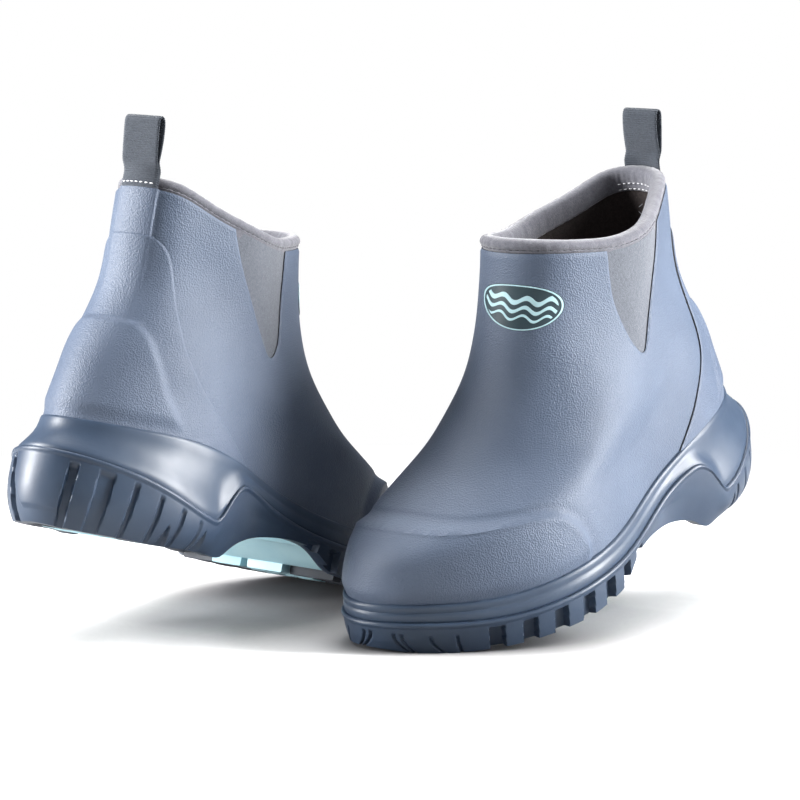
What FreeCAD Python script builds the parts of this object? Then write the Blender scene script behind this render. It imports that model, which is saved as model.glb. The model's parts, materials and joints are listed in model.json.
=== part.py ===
import FreeCAD, Part
import math
import os
from FreeCAD import Matrix, Placement, Rotation, Vector

# A pair of ankle-high pull-on deck boots, heels lifted and toes on the floor.
# Each boot is modelled once as a left boot in its own ground frame: +X from heel to toe,
# +Y to the outer (lateral) side, +Z up, heel and ball on the plane z = 0.
# The upper is shaped on a last whose own axes are tipped HEEL_PITCH against the ground.
# All lengths are millimetres and all angles degrees.

# Last and upper
HEEL_PITCH = 4.5
LAST_LIFT = 5.5
SKIN = 2.0             # rubber-coated outer skin
OVERLAY = 1.2          # heel overlay and back strip, on top of the skin
LINING = 5.0           # neoprene lining
STIFFENER = 1.5        # heel counter and toe puff, between skin and lining
BOARD = 2.0            # insole board
LINING_FLOOR = 3.0     # lining under the foot
FOOTBED = 4.0
TOE_INFLARE = 8.0
BADGE_THICK = 0.5      # printed oval badge on the front of the shaft
BADGE_HALF_WIDTH = 22.0
BADGE_HALF_HEIGHT = 11.0
BADGE_Y = 8.0
BADGE_Z = 153.0

# Collar and pull loop
BINDING_HEIGHT = 6.5
BINDING_INSET = 0.8
BINDING_THICK = 7.8
BINDING_LIP = 8.0
WEB_WIDTH = 22.0
WEB_THICK = 1.5
LOOP_FREE = 27.5       # free height of the loop above its sewn end
LOOP_HALF_DEPTH = 4.7
LOOP_LEAN = 24.0       # rest lean towards the heel, from the last's upright
LOOP_PIVOT = Vector(20.0, 0.0, 184.4)

# Sole
FLOOR = 4.5            # tread depth, from the ground up to the pale core
CORE = 2.0             # pale tread core
WELL_INSET = 4.0       # midsole and core stand this far inside the last's edge
SHANK_WIDTH = 18.0
SHANK_THICK = 1.4
LUG_PITCH = 17.0
LUG_GAP = 7.0
NOTCH_HEIGHT = 12.0    # how far the gaps between edge lugs climb the side wall

# Rest pose of each boot: yaw, toe-down pitch, roll, and where its origin stands
LEFT_POSE = (-130.2, 14.8, -1.9, Vector(173.8, 111.5, 0.0))
RIGHT_POSE = (58.2, 14.1, 2.9, Vector(-176.4, -111.5, 0.0))

# Side view of the last, as (height, x): centre back and centre front
BACK_LINE = [(22, -6.5), (50, -0.5), (75, 4), (100, 12.5), (125, 19.5), (150, 17.5), (175, 15), (200, 12)]
FRONT_LINE = [(22, 287), (40, 285.5), (52, 284.5), (62, 280), (70, 272), (77, 252), (84, 227),
              (95, 203), (110, 181), (130, 165), (155, 152), (180, 142.5), (200, 139)]
# Half widths along the length, as (fraction of the length, half width)
FOOT_LATERAL = [(0, 54), (0.12, 60.5), (0.4, 51), (0.72, 69), (1, 61.5)]
FOOT_MEDIAL = [(0, 49), (0.12, 55), (0.4, 43), (0.72, 55), (1, 63.5)]
SHAFT_HALF = [(0, 44), (0.12, 37), (0.4, 40), (0.72, 38), (1, 43)]
FOOT_TOP = 44.0        # the section changes from foot to shaft between these heights
SHAFT_BASE = 146.0

# Side-view lines in the last's axes, as (x, z)
COLLAR_LINE = [(-60, 172), (10, 172.3), (26, 171.2), (44, 167), (62, 164), (80, 163), (95, 164.2),
               (110, 168), (125, 172.8), (141, 177.5), (340, 177.5)]
LAST_FLOOR = [(-60, 24), (0, 24.5), (60, 27), (100, 29.5), (130, 30), (160, 28), (190, 24.5),
              (215, 23), (240, 25), (265, 29.3), (290, 36), (360, 52)]
FOXING_LINE = [(-60, 49), (0, 49.5), (50, 53.4), (100, 47.7), (150, 39), (200, 38), (250, 40.5),
               (300, 52.6), (360, 60)]
GUSSET_REAR = [(60, 172), (60.5, 165), (68, 148), (78, 130), (88, 116), (97, 110.5)]
GUSSET_FRONT = [(97, 110.5), (104, 113.5), (107, 122), (106.5, 138), (104.5, 150), (102.5, 165), (102.5, 172)]
OVERLAY_EDGE = [(-40, 151), (18, 151), (27, 148), (33, 136), (35.5, 120), (40, 107), (50, 92), (65, 77),
                (82, 62), (104, 40)]

# Side-view lines in the ground frame, as (x, z)
HEEL_BEVEL = [(-60, 20), (-14, 5.5), (-4, 1.2), (8, 0)]
HEEL_FLAT = [(8, 0), (84, 0)]
ARCH = [(84, 0), (90, 5), (104, 11.5), (130, 16), (156, 12), (170, 3.5), (178, 0)]
BALL_FLAT = [(178, 0), (248, 0)]
TOE_SPRING = [(248, 0), (264, 2), (280, 5.2), (292, 11), (360, 60)]
RAND_FOOT = [(-60, 38.5), (0, 38.3), (25, 34.8), (42, 30.8), (57, 25.8), (66, 22), (71, 21.5), (78, 30.5), (85, 37),
             (92, 37.3), (115, 31.5), (150, 22.5), (200, 17.5), (250, 16.5), (295, 25), (360, 34)]

SECTION_POINTS = 36
LAST_HEIGHTS = [18, 30, 42, 52, 60, 67, 74, 82, 92, 105, 120, 135, 150, 165, 180, 192]
SIDE_REACH = 130.0
LOW = -120.0
HIGH = 320.0


def natural_spline(knots):
    """A natural cubic through (key, value) knots, held flat past both ends."""
    keys = [k[0] for k in knots]
    vals = [float(k[1]) for k in knots]
    last = len(keys) - 1
    step = [keys[i + 1] - keys[i] for i in range(last)]
    slope = [(vals[i + 1] - vals[i]) / step[i] for i in range(last)]
    upper = [0.0] * (last + 1)
    right = [0.0] * (last + 1)
    for i in range(1, last):
        pivot = 2 * (step[i - 1] + step[i]) - step[i - 1] * upper[i - 1]
        upper[i] = step[i] / pivot
        right[i] = (6 * (slope[i] - slope[i - 1]) - step[i - 1] * right[i - 1]) / pivot
    bend = [0.0] * (last + 1)
    for i in range(last - 1, 0, -1):
        bend[i] = right[i] - upper[i] * bend[i + 1]

    def value(key):
        key = min(max(key, keys[0]), keys[last])
        i = 0
        while i < last - 1 and key > keys[i + 1]:
            i += 1
        a = (keys[i + 1] - key) / step[i]
        b = 1 - a
        curve = ((a ** 3 - a) * bend[i] + (b ** 3 - b) * bend[i + 1]) * step[i] ** 2 / 6
        return a * vals[i] + b * vals[i + 1] + curve

    return value


def smoothstep(low, high, value):
    t = min(max((value - low) / (high - low), 0.0), 1.0)
    return t * t * (3 - 2 * t)


back_x = natural_spline(BACK_LINE)
front_line = natural_spline(FRONT_LINE)
foot_lateral = natural_spline(FOOT_LATERAL)
foot_medial = natural_spline(FOOT_MEDIAL)
shaft_half = natural_spline(SHAFT_HALF)


def front_x(z, offset):
    """Front of the last at height z, moved out along the profile's normal."""
    base = z
    for _ in range(12):
        slope = front_line(base + 0.5) - front_line(base - 0.5)
        base = z + offset * slope / math.hypot(1, slope)
    slope = front_line(base + 0.5) - front_line(base - 0.5)
    return front_line(base) + offset / math.hypot(1, slope)


def section_point(z, u, offset):
    """One point of the last's horizontal section; u runs once round it from the heel."""
    back = back_x(z) - offset
    front = front_x(z, offset)
    t = (1 - math.cos(2 * math.pi * u)) / 2
    side = math.sin(2 * math.pi * u)
    foot = foot_lateral(t) if side > 0 else foot_medial(t)
    shaft = smoothstep(FOOT_TOP, SHAFT_BASE, z)
    half = (1 - shaft) * foot + shaft * shaft_half(t) + offset
    x = back + (front - back) * t
    inflare = (1 - shaft) * TOE_INFLARE * min(max((x - 150) / 140, 0.0), 1.0) ** 2
    return Vector(x, half * side - inflare, z)


def closed_curve(points):
    """A closed curve with evenly spaced knots, so that stacked sections share them."""
    curve = Part.BSplineCurve()
    knots = [i / len(points) for i in range(len(points) + 1)]
    curve.interpolate(Points=points, PeriodicFlag=True, Parameters=knots)
    return Part.Wire(curve.toShape())


def section(z, offset):
    return closed_curve([section_point(z, i / SECTION_POINTS, offset) for i in range(SECTION_POINTS)])


def flared_section(shape_z, z, heel_flare, toe_flare):
    """The section at shape_z, pushed out level by a flare that changes from heel to toe."""
    points = []
    for i in range(SECTION_POINTS):
        u = i / SECTION_POINTS
        here = section_point(shape_z, u, 0.0)
        ahead = section_point(shape_z, u + 0.002, 0.0) - section_point(shape_z, u - 0.002, 0.0)
        outward = Vector(-ahead.y, ahead.x, 0).normalize()
        if outward.dot(Vector(here.x - 140, here.y, 0)) < 0:
            outward = outward * -1
        flare = heel_flare + (toe_flare - heel_flare) * smoothstep(60, 130, here.x)
        points.append(Vector(here.x, here.y, z) + outward * flare)
    return closed_curve(points)


def last_solid(offset):
    heights = [min(max(z, 18 + offset), 192 - offset) for z in LAST_HEIGHTS]
    heights[0] = 18 + offset
    heights[-1] = 192 - offset
    return Part.makeLoft([section(z, offset) for z in heights], True, False)


def chain(lines):
    """Edges through a list of point runs: two points are a line, more are a curve."""
    edges = []
    for run in lines:
        points = [Vector(x, 0, z) for x, z in run]
        if len(points) == 2:
            edges.append(Part.LineSegment(points[0], points[1]).toShape())
        else:
            curve = Part.BSplineCurve()
            curve.interpolate(Points=points)
            edges.append(curve.toShape())
    return edges


def through_sides(edges, y_low=-SIDE_REACH, y_high=SIDE_REACH):
    """A side-view outline, extruded across the boot."""
    face = Part.Face(Part.Wire(Part.__sortEdges__(edges)))
    face.translate(Vector(0, y_low, 0))
    return face.extrude(Vector(0, y_high - y_low, 0))


def bounded_by(lines, level, rise=0.0):
    """Everything between a side-view line, raised by rise, and a level far above or below."""
    moved = [[(x, z + rise) for x, z in run] for run in lines]
    start = moved[0][0]
    end = moved[-1][-1]
    corners = [end, (end[0], level), (start[0], level), start]
    closing = [[corners[i], corners[i + 1]] for i in range(3)]
    return through_sides(chain(moved + closing))


def below(lines, rise=0.0):
    return bounded_by(lines, LOW, rise)


def above(lines, rise=0.0):
    return bounded_by(lines, HIGH, rise)


def block(x_low, x_high, y_low, y_high, z_low, z_high):
    return Part.makeBox(x_high - x_low, y_high - y_low, z_high - z_low, Vector(x_low, y_low, z_low))


# The tilt that carries the last's axes to the ground frame
TILT = Placement(Vector(0, 0, LAST_LIFT), Rotation(Vector(0, 1, 0), HEEL_PITCH))


def on_last(shape):
    """A shape drawn in the last's axes, carried to the ground frame."""
    moved = shape.copy()
    moved.transformShape(TILT.toMatrix())
    return moved


def plan_prism(inset):
    """The last's footprint as a tall prism in the ground frame."""
    level = [section_point(30, i / SECTION_POINTS, -inset) for i in range(SECTION_POINTS)]
    flat = [TILT.multVec(p) for p in level]
    wire = closed_curve([Vector(p.x, p.y, -30) for p in flat])
    return Part.Face(wire).extrude(Vector(0, 0, 130))


def window(y_low, y_high):
    """The V-shaped gusset opening, seen from the side."""
    top = [[GUSSET_FRONT[-1], GUSSET_REAR[0]]]
    return through_sides(chain([GUSSET_REAR, GUSSET_FRONT] + top), y_low, y_high)


def build_upper(parts, hull, collar, floor):
    """Skin panels, gussets, overlay, emblem and the pieces sealed under the skin."""
    inside = {offset: last_solid(-offset) for offset in (SKIN, SKIN + STIFFENER, SKIN + LINING)}
    body = above([LAST_FLOOR]).common(below([COLLAR_LINE]))
    skin = hull.cut(inside[SKIN]).common(body)
    lateral = window(0, SIDE_REACH)
    medial = window(-SIDE_REACH, 0)
    parts["upper_shell"] = skin.cut(lateral).cut(medial)
    stretch = last_solid(-0.6).cut(inside[SKIN]).common(body)
    parts["lateral_gusset"] = stretch.common(lateral)
    parts["medial_gusset"] = stretch.common(medial)

    proud = last_solid(OVERLAY).cut(hull).common(above([FOXING_LINE])).common(collar)
    rear = through_sides(chain([OVERLAY_EDGE, [(104, 40), (104, -40)], [(104, -40), (-40, -40)],
                                [(-40, -40), (-40, 151)]]))
    parts["heel_overlay"] = proud.common(rear)
    centre = block(-60, 60, -WEB_WIDTH / 2, WEB_WIDTH / 2, 100, 200)
    parts["back_strip"] = proud.common(centre).cut(rear)

    oval = Part.Face(Part.Wire(Part.Ellipse(Vector(0, 0, 0), BADGE_HALF_WIDTH, BADGE_HALF_HEIGHT).toShape()))
    turn = Matrix(0, 0, 1, 110, 1, 0, 0, BADGE_Y, 0, 1, 0, BADGE_Z, 0, 0, 0, 1)
    badge = oval.transformGeometry(turn).extrude(Vector(80, 0, 0))
    parts["emblem"] = last_solid(BADGE_THICK).cut(hull).common(badge)

    tuck = inside[SKIN].cut(inside[SKIN + STIFFENER]).common(above([LAST_FLOOR], BOARD))
    heel_zone = through_sides(chain([[(-40, 108), (24, 108)], [(24, 108), (42, 100), (70, 76), (84, 50), (86, 0)],
                                     [(86, 0), (-40, 0)], [(-40, 0), (-40, 108)]]))
    toe_zone = through_sides(chain([[(320, 0), (238, 0)], [(238, 0), (236, 40), (246, 70), (262, 95)],
                                    [(262, 95), (320, 95)], [(320, 95), (320, 0)]]))
    parts["counter_stiffener"] = tuck.common(heel_zone)
    parts["toe_puff"] = tuck.common(toe_zone)

    sock = inside[SKIN].common(above([LAST_FLOOR], BOARD)).common(collar)
    foot_space = inside[SKIN + LINING].common(above([LAST_FLOOR], BOARD + LINING_FLOOR))
    parts["lining"] = sock.cut(foot_space).cut(parts["counter_stiffener"]).cut(parts["toe_puff"])
    parts["insole_board"] = inside[SKIN].common(floor).common(below([LAST_FLOOR], BOARD))
    bed = last_solid(-(SKIN + LINING + 0.4))
    low = BOARD + LINING_FLOOR + 0.2
    bed_layer = above([LAST_FLOOR], low).common(below([LAST_FLOOR], low + FOOTBED))
    parts["footbed"] = bed.common(bed_layer)


def build_collar(parts):
    """The rolled binding, the sewn ends of the pull loop and its free part."""
    outer = last_solid(-BINDING_INSET)
    inner = last_solid(-(BINDING_INSET + BINDING_THICK))
    lining_face = last_solid(-(SKIN + LINING))
    roll = outer.cut(inner).common(above([COLLAR_LINE])).common(below([COLLAR_LINE], BINDING_HEIGHT))
    lip = lining_face.cut(inner).common(above([COLLAR_LINE], -BINDING_LIP)).common(below([COLLAR_LINE]))
    parts["collar_binding"] = roll.fuse(lip).removeSplitter()

    width = block(-60, 60, -WEB_WIDTH / 2, WEB_WIDTH / 2, 150, 200)
    crown = below([COLLAR_LINE], BINDING_HEIGHT)
    wrap = last_solid(-BINDING_INSET + WEB_THICK).cut(last_solid(-(BINDING_INSET + BINDING_THICK + WEB_THICK)))
    saddle = wrap.common(above([COLLAR_LINE], 0.5)).common(below([COLLAR_LINE], BINDING_HEIGHT + WEB_THICK))
    parts["loop_anchor"] = saddle.cut(outer.cut(inner).common(crown)).common(width)

    deep = LOOP_HALF_DEPTH
    ring = [(0, 1.6), (4, 2.4), (12, deep - 0.8), (20, deep), (LOOP_FREE - 2.5, deep - 1.6), (LOOP_FREE, 0)]
    ring += [(s, -h) for s, h in reversed(ring[:-1])]
    slot = [(3.5, 0), (12, deep - 0.8 - WEB_THICK), (20, deep - WEB_THICK), (LOOP_FREE - 3.5, deep - 2.9)]
    slot += [(LOOP_FREE - WEB_THICK, 0)] + [(s, -h) for s, h in reversed(slot[1:])]
    face = Part.Face(Part.Wire(chain([[(h, s) for s, h in ring], [(-1.6, 0), (1.6, 0)]])))
    hole = Part.Face(closed_curve([Vector(h, 0, s) for s, h in slot]))
    loop = face.extrude(Vector(0, WEB_WIDTH, 0)).cut(hole.extrude(Vector(0, WEB_WIDTH, 0)))
    loop.translate(Vector(0, -WEB_WIDTH / 2, 0))
    loop.rotate(Vector(0, 0, 0), Vector(0, 1, 0), -LOOP_LEAN)
    loop.translate(LOOP_PIVOT)
    parts["pull_loop"] = loop


def build_sole(parts, foot_block, floor_low):
    """Rand, outsole with its lugs, pale tread core, midsole and shank, in the ground frame."""
    ground = [HEEL_BEVEL, HEEL_FLAT, ARCH, BALL_FLAT, TOE_SPRING]
    flares = [(20, 8, 5), (28, 8.4, 5), (36, 8.2, 4.5), (42, 7, 3.6), (48, 4.6, 2.7), (54, 2.4, 2), (62, 2, 2),
              (70, 2, 2)]
    band = Part.makeLoft([flared_section(z, z, heel, toe) for z, heel, toe in flares], True, False)
    well = plan_prism(WELL_INSET)
    well_low = well.common(floor_low)

    rand = on_last(band.common(below([FOXING_LINE]))).common(above([RAND_FOOT]))
    parts["rand"] = rand.cut(foot_block).cut(well_low)

    walls = [(-2, 5, 2.5), (5, 6.5, 3.8), (14, 7.6, 4.8), (26, 8.2, 5), (34, 8.3, 4.6), (42, 7.8, 4)]
    tall = []
    for z, heel, toe in walls:
        wire = flared_section(30, z, heel, toe)
        wire.translate(Vector(2.4, 0, 0))
        tall.append(wire)
    wall = Part.makeLoft(tall, True, False)
    sole = wall.common(above(ground)).common(below([RAND_FOOT]))
    sole = sole.cut(foot_block).cut(well.common(above(ground, FLOOR)))
    lugs = [block(x, x + LUG_GAP, -SIDE_REACH, SIDE_REACH, -20, 60)
            for x in [181 + LUG_PITCH * i for i in range(7)]]
    lugs += [block(x, x + 4, -SIDE_REACH, SIDE_REACH, -20, 60) for x in (12, 26, 58, 72)]
    lugs += [block(104, 164, y, y + 6, -20, 60) for y in (-16, 8)]
    gaps = Part.makeCompound(lugs[:11]).common(below(ground, FLOOR))
    arch_gaps = Part.makeCompound(lugs[11:]).common(below(ground, FLOOR))
    edge = Part.makeCompound(lugs[:7]).common(below(ground, NOTCH_HEIGHT)).cut(plan_prism(-1.0))
    parts["outsole"] = sole.cut(gaps).cut(arch_gaps).cut(edge)

    parts["tread_core"] = well.common(above(ground, FLOOR)).common(below(ground, FLOOR + CORE))
    steel = block(72, 178, -SHANK_WIDTH / 2, SHANK_WIDTH / 2, -20, 80)
    seat = floor_low.cut(on_last(below([LAST_FLOOR], -SHANK_THICK)))
    parts["shank"] = steel.common(seat)
    parts["midsole"] = well_low.common(above(ground, FLOOR + CORE)).cut(parts["shank"])


def build_boot():
    """Every piece of the left boot, in its ground frame."""
    drawn = {}
    hull = last_solid(0)
    collar = below([COLLAR_LINE])
    floor = above([LAST_FLOOR])
    build_upper(drawn, hull, collar, floor)
    build_collar(drawn)
    parts = {name: on_last(shape) for name, shape in drawn.items()}
    build_sole(parts, on_last(hull.common(floor)), on_last(below([LAST_FLOOR])))
    return parts


def pose_matrix(pose):
    yaw, pitch, roll, origin = pose
    turn = Rotation(Vector(0, 0, 1), yaw) * Rotation(Vector(0, 1, 0), pitch) * Rotation(Vector(1, 0, 0), roll)
    return Placement(origin, turn).toMatrix()


def placed(shape, matrix):
    moved = shape.copy()
    moved.transformShape(matrix)
    return moved


def corners(shapes):
    """Lowest and highest corner of a group of shapes, measured on their meshes."""
    points = [p for shape in shapes for p in shape.tessellate(0.1)[0]]
    low = Vector(min(p.x for p in points), min(p.y for p in points), min(p.z for p in points))
    high = Vector(max(p.x for p in points), max(p.y for p in points), max(p.z for p in points))
    return low, high


def main():
    os.makedirs("parts", exist_ok=True)
    left = build_boot()
    right = {name: shape.mirror(Vector(0, 0, 0), Vector(0, 1, 0)) for name, shape in left.items()}
    nodes = {}
    for side, parts, pose in (("left", left, LEFT_POSE), ("right", right, RIGHT_POSE)):
        posed = {name: placed(shape, pose_matrix(pose)) for name, shape in parts.items()}
        floor_z = corners([posed["outsole"]])[0].z
        for name, shape in posed.items():
            shape.translate(Vector(0, 0, -floor_z))
            nodes[side + "_" + name] = shape
        print(side, "stands at", pose[3] - Vector(0, 0, floor_z))
    low, high = corners([s for n, s in nodes.items() if n.endswith(("outsole", "rand", "pull_loop", "overlay"))])
    centre = Vector((low.x + high.x) / 2, (low.y + high.y) / 2, 0)
    print("centre", centre, "box", high - low)
    for name, shape in nodes.items():
        shape.translate(centre * -1)
        shape.exportStep("parts/" + name + ".step")
        print(name, "volume", round(shape.Volume), "solids", len(shape.Solids), "valid", shape.isValid())


main()
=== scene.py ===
import json
import math
import bmesh
import bpy
import numpy as np
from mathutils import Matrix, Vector


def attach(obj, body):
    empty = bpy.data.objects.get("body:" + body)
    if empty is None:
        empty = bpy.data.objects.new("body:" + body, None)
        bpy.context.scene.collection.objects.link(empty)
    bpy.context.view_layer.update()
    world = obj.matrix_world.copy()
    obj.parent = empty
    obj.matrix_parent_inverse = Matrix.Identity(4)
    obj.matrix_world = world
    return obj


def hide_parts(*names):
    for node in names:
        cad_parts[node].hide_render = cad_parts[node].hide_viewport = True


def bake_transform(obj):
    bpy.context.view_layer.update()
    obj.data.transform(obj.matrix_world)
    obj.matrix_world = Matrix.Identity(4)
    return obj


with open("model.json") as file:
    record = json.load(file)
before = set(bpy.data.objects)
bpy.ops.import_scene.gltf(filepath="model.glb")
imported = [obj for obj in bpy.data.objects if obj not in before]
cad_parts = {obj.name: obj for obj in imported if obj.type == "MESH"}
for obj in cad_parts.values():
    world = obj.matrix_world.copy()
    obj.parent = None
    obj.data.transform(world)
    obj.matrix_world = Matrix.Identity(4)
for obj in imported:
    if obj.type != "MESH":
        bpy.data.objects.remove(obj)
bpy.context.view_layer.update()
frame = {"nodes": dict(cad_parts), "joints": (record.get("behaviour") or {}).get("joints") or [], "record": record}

# ---------------------------------------------------------------- driving sizes, in millimetres
# Each boot is drawn once, as a left boot on its last's own axes: +X to the toe, +Y to the outer side, +Z up.
HEEL_PITCH = math.radians(4.5)
LAST_LIFT = 5.5
SKIN = 2.0
OVERLAY = 1.5
LINING_INNER = 7.0
COUNTER_RISE = 1.9
CAP_RISE = 2.0
CAP_EDGE_X = 250.0       # the toe cap's edge on top of the foot
CAP_EDGE_SWEEP = 58.0    # how far it sweeps back by the sides
CAP_HALF = 67.0
SPINE_RISE = 0.8
CUT_ROUND = 0.7          # how far a skin's outer edge is drawn in at a cut
WEB_WIDTH = 22.0
WEB_HALF = 0.52          # half the webbing's thickness
RIB_PITCH = 1.12
COLLAR_BOW = 60.0        # twice the radius of the collar's back, where the webbing lies on it
LOOP_LEAN = math.radians(24)
LOOP_PIVOT = np.array([20.0, 0.0, 184.4])
MOUNT_POINT = np.array([44.0, 2.0, 0.0])

BACK_LINE = [(22, -6.5), (50, -0.5), (75, 4), (100, 12.5), (125, 19.5), (150, 17.5), (175, 15), (200, 12)]
FRONT_LINE = [(22, 287), (40, 285.5), (52, 284.5), (62, 280), (70, 272), (77, 252), (84, 227),
              (95, 203), (110, 181), (130, 165), (155, 152), (180, 142.5), (200, 139)]
FOOT_LATERAL = [(0, 54), (0.12, 60.5), (0.4, 51), (0.72, 69), (1, 61.5)]
FOOT_MEDIAL = [(0, 49), (0.12, 55), (0.4, 43), (0.72, 55), (1, 63.5)]
SHAFT_HALF = [(0, 44), (0.12, 37), (0.4, 40), (0.72, 38), (1, 43)]
COLLAR_LINE = [(-60, 172), (10, 172.3), (26, 171.2), (44, 167), (62, 164), (80, 163), (95, 164.2),
               (110, 168), (125, 172.8), (141, 177.5), (340, 177.5)]
LAST_FLOOR = [(-60, 24), (0, 24.5), (60, 27), (100, 29.5), (130, 30), (160, 28), (190, 24.5),
              (215, 23), (240, 25), (265, 29.3), (290, 36), (360, 52)]
FOXING_LINE = [(-60, 49), (0, 49.5), (50, 53.4), (100, 47.7), (150, 39), (200, 38), (250, 40.5),
               (300, 52.6), (360, 60)]
GUSSET = [(56, 176), (57, 165), (66, 149), (76.5, 135), (87.5, 120.5), (95.5, 110.5), (99, 108.6),
          (102.5, 111), (106, 120), (107.5, 138), (106, 153), (104, 165), (104, 176)]
OVERLAY_EDGE = [(-40, 148), (15, 148.5), (22, 147.3), (28, 141), (32.5, 129), (36, 111), (40.5, 94), (50, 80),
                (65, 68), (82, 56), (104, 40)]
COUNTER_EDGE = [(-40, 103), (15, 104), (20.5, 102), (24, 96), (27.5, 84), (33, 71), (41, 58), (50, 42)]
# x and height in the ground frame
SOLE_BOTTOM = [(-60, 12), (-14, 5.5), (-4, 1.2), (6, 0.05), (20, 0), (50, 0), (76, 0), (85, 0.6), (91, 5),
               (104, 11.5), (130, 16), (156, 12), (168, 4), (178, 0.3), (190, 0), (220, 0), (246, 0),
               (264, 2), (280, 5.2), (292, 11), (360, 60)]
RAND_FOOT = [(-60, 38.5), (0, 37), (10, 35.2), (22, 32.5), (35, 28.5), (48, 23.8), (58, 20.3), (66, 18.4),
             (70, 19), (74.5, 25.5), (80, 34.5), (85, 38.2), (92, 38.3), (115, 32), (150, 22.5), (200, 17.5),
             (250, 16.5), (295, 25), (360, 34)]
GROUND_SHIFT = 2.4       # ground-frame x of a sole point, less its x on the last
FOOT_TOP = 44.0          # the foot's section turns into the shaft's between these heights
SHAFT_BASE = 146.0
TOE_INFLARE = 8.0        # how far the toe leans to the inner side


# ---------------------------------------------------------------- curves and the last's surface
def natural_spline(knots):
    """A natural cubic through (key, value) knots, held flat past both ends."""
    keys, vals = (np.array(v, float) for v in zip(*knots))
    step = np.diff(keys)
    slope = np.diff(vals) / step
    count = len(keys)
    system = np.eye(count)
    right = np.zeros(count)
    for i in range(1, count - 1):
        system[i, i - 1:i + 2] = step[i - 1], 2 * (step[i - 1] + step[i]), step[i]
        right[i] = 6 * (slope[i] - slope[i - 1])
    bend = np.linalg.solve(system, right)

    def value(key):
        key = np.clip(key, keys[0], keys[-1])
        i = np.clip(np.searchsorted(keys, key) - 1, 0, count - 2)
        a = (keys[i + 1] - key) / step[i]
        b = 1 - a
        curve = ((a ** 3 - a) * bend[i] + (b ** 3 - b) * bend[i + 1]) * step[i] ** 2 / 6
        return a * vals[i] + b * vals[i + 1] + curve

    return value


def smoothstep(low, high, value):
    t = np.clip((value - low) / (high - low), 0.0, 1.0)
    return t * t * (3 - 2 * t)


back_x = natural_spline(BACK_LINE)
front_line = natural_spline(FRONT_LINE)
foot_lateral = natural_spline(FOOT_LATERAL)
foot_medial = natural_spline(FOOT_MEDIAL)
shaft_half = natural_spline(SHAFT_HALF)
collar_z = natural_spline(COLLAR_LINE)
foxing_z = natural_spline(FOXING_LINE)
floor_z = natural_spline(LAST_FLOOR)
bottom_line = natural_spline(SOLE_BOTTOM)
rand_foot = natural_spline(RAND_FOOT)


def front_x(z, offset):
    base = np.array(z, float)
    for _ in range(12):
        slope = front_line(base + 0.5) - front_line(base - 0.5)
        base = z + offset * slope / np.hypot(1, slope)
    slope = front_line(base + 0.5) - front_line(base - 0.5)
    return front_line(base) + offset / np.hypot(1, slope)


def surface(u, z, offset):
    """The last's surface at (u, z), moved out by offset; u runs from the heel round by the outer side."""
    u, z, offset = np.broadcast_arrays(u, z, offset)
    back = back_x(z) - offset
    front = front_x(z, offset)
    t = (1 - np.cos(2 * np.pi * u)) / 2
    side = np.sin(2 * np.pi * u)
    foot = np.where(side > 0, foot_lateral(t), foot_medial(t))
    shaft = smoothstep(FOOT_TOP, SHAFT_BASE, z)
    half = (1 - shaft) * foot + shaft * shaft_half(t) + offset
    x = back + (front - back) * t
    inflare = (1 - shaft) * TOE_INFLARE * np.clip((x - 150) / 140, 0, 1) ** 2
    return np.stack([x, half * side - inflare, z], -1)


def outward(u, z):
    """Level unit normal of the section at (u, z), pointing out of the boot."""
    along = surface(u + 0.0015, z, 0.0) - surface(u - 0.0015, z, 0.0)
    normal = np.stack([-along[..., 1], along[..., 0], np.zeros_like(along[..., 0])], -1)
    return normal / np.linalg.norm(normal, axis=-1, keepdims=True)


def ground_height(x, level):
    """The last-frame height of a point level above the ground plane at x."""
    return x * math.sin(HEEL_PITCH) + (level - LAST_LIFT) * math.cos(HEEL_PITCH)


def solve_height(line, u):
    """Where each column meets a side-view line z = line(x)."""
    z = np.full_like(u, 60.0 if line is foxing_z else 168.0)
    for _ in range(60):
        z = 0.5 * z + 0.5 * line(surface(u, z, 0.0)[..., 0])
    return z


def polyline(points, steps=14):
    """A smooth side-view curve through the points."""
    p = np.array(points, float)
    padded = np.vstack([2 * p[0] - p[1], p, 2 * p[-1] - p[-2]])
    t = np.linspace(0, 1, steps, endpoint=False)[:, None]
    runs = []
    for i in range(1, len(padded) - 2):
        a, b, c, d = padded[i - 1:i + 3]
        runs.append(0.5 * (2 * b + (c - a) * t + (2 * a - 5 * b + 4 * c - d) * t ** 2
                           + (3 * b - a - 3 * c + d) * t ** 3))
    return np.vstack(runs + [p[-1:]])


def signed_distance(points, outline):
    """Distance of (x, z) points to a closed outline, positive inside."""
    a = outline
    b = np.roll(outline, -1, axis=0)
    edge = b - a
    best = np.full(len(points), 1e9)
    inside = np.zeros(len(points), bool)
    for p, q, e in zip(a, b, edge):
        size = e @ e
        if size < 1e-9:
            continue
        t = np.clip(((points - p) @ e) / size, 0, 1)
        gap = points - p - t[:, None] * e
        best = np.minimum(best, (gap ** 2).sum(1))
        if abs(e[1]) > 1e-12:
            crossed = (p[1] > points[:, 1]) != (q[1] > points[:, 1])
            inside ^= crossed & (points[:, 0] < p[0] + (points[:, 1] - p[1]) / e[1] * e[0])
    return np.sqrt(best) * np.where(inside, 1, -1)


gusset_outline = polyline(GUSSET)
overlay_outline = np.vstack([polyline(OVERLAY_EDGE), [(104, -40), (-40, -40)]])
counter_outline = np.vstack([polyline(COUNTER_EDGE), [(62, -40), (-40, -40)]])


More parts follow.
